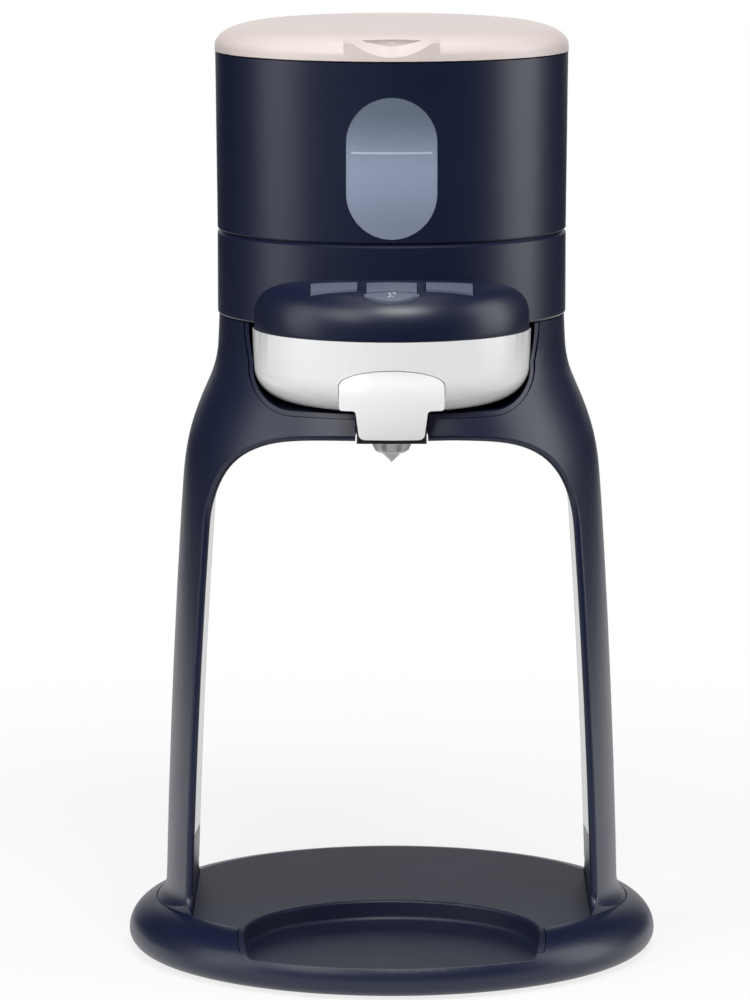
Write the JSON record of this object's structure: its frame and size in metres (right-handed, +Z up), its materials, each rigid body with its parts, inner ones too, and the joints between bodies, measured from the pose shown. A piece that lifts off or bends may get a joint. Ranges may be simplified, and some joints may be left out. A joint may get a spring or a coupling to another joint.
{
  "type": "baby_formula_maker",
  "caption": "Countertop baby formula maker: navy ring base and two-legged stand with a bottle rest, round head, white powder drawer with spout, lift-off water tank, hinged lid.",
  "frame": {"origin": "centre of the base's underside, on the surface it stands on", "axes": "+Z up, front faces -Y, +X to the right seen from the front"},
  "size_m": [0.214, 0.214, 0.377],
  "materials": {
    "navy_plastic": "satin moulded navy plastic",
    "liner_plastic": "smoother navy plastic inside the arch",
    "dark_plastic": "plain dark moulded plastic",
    "rubber": "soft matt rubber",
    "steel": "plain steel",
    "circuit_board": "green circuit board",
    "blush_plastic": "pale blush satin plastic",
    "white_gloss": "glossy white plastic",
    "clear_plastic": "frosted translucent plastic",
    "tank_plastic": "frosted food-safe plastic",
    "silicone": "milky silicone tube"
  },
  "bodies": {
    "root": {"base_ring": "navy_plastic", "base_plate": "navy_plastic", "base_cover": "dark_plastic", "rubber_feet": "rubber", "cover_screws": "steel", "leg_screws": "steel", "ballast_weight": "steel", "cord_gland": "dark_plastic", "power_lead": "rubber", "stand_frame": "navy_plastic", "arch_liner": "liner_plastic", "drawer_bay": "liner_plastic", "control_dome": "navy_plastic", "dome_floor": "dark_plastic", "control_board": "circuit_board", "key_switches": "dark_plastic", "head_band": "navy_plastic", "chassis_tray": "dark_plastic", "tray_screws": "steel", "tank_deck": "dark_plastic", "deck_screws": "steel", "dock_socket": "white_gloss", "dock_seal": "rubber", "water_pump": "dark_plastic", "boiler": "steel", "temperature_sensor": "steel", "suction_hose": "silicone", "pressure_hose": "silicone", "hot_hose": "silicone", "water_outlet": "white_gloss", "power_board": "circuit_board"},
    "tank": {"tank_sleeve": "navy_plastic", "level_window": "clear_plastic", "water_tank": "tank_plastic", "tank_valve": "white_gloss", "hinge_pin": "steel"},
    "plunger": {"valve_plunger": "white_gloss"},
    "lid": {"lid": "blush_plastic", "lid_seal": "rubber"},
    "drawer": {"powder_bowl": "white_gloss"},
    "mixer": {"spout_cover": "white_gloss", "mixing_chamber": "white_gloss", "outlet_seal": "rubber", "nozzle": "clear_plastic"},
    "left_key": {"key_left": "clear_plastic"},
    "centre_key": {"key_centre": "clear_plastic"},
    "right_key": {"key_right": "clear_plastic"},
    "front_key": {"key_front": "clear_plastic"}
  },
  "joints": [
    {"name": "tank_lift", "type": "slide", "parent": "root", "child": "tank", "axis": [0, 0, 1], "range_m": [0, 0.09]},
    {"name": "lid_hinge", "type": "hinge", "parent": "tank", "child": "lid", "pos_m": [0, 0.0743, 0.3662], "axis": [-1, 0, 0], "range_deg": [0, 100]},
    {"name": "valve_travel", "type": "slide", "parent": "tank", "child": "plunger", "axis": [0, 0, 1], "range_m": [0, 0.0015], "stiffness_N_per_m": 150},
    {"name": "drawer_slide", "type": "slide", "parent": "root", "child": "drawer", "axis": [0, -1, 0], "range_m": [0, 0.1]},
    {"name": "spout_slide", "type": "slide", "parent": "drawer", "child": "mixer", "axis": [0, -1, 0], "range_m": [0, 0.045]},
    {"name": "left_key_press", "type": "slide", "parent": "root", "child": "left_key", "axis": [0, 0, -1], "range_m": [0, 0.0012], "stiffness_N_per_m": 300},
    {"name": "centre_key_press", "type": "slide", "parent": "root", "child": "centre_key", "axis": [0, 0, -1], "range_m": [0, 0.0012], "stiffness_N_per_m": 300},
    {"name": "right_key_press", "type": "slide", "parent": "root", "child": "right_key", "axis": [0, 0, -1], "range_m": [0, 0.0012], "stiffness_N_per_m": 300},
    {"name": "front_key_press", "type": "slide", "parent": "root", "child": "front_key", "axis": [0, 0, -1], "range_m": [0, 0.0012], "stiffness_N_per_m": 300}
  ]
}
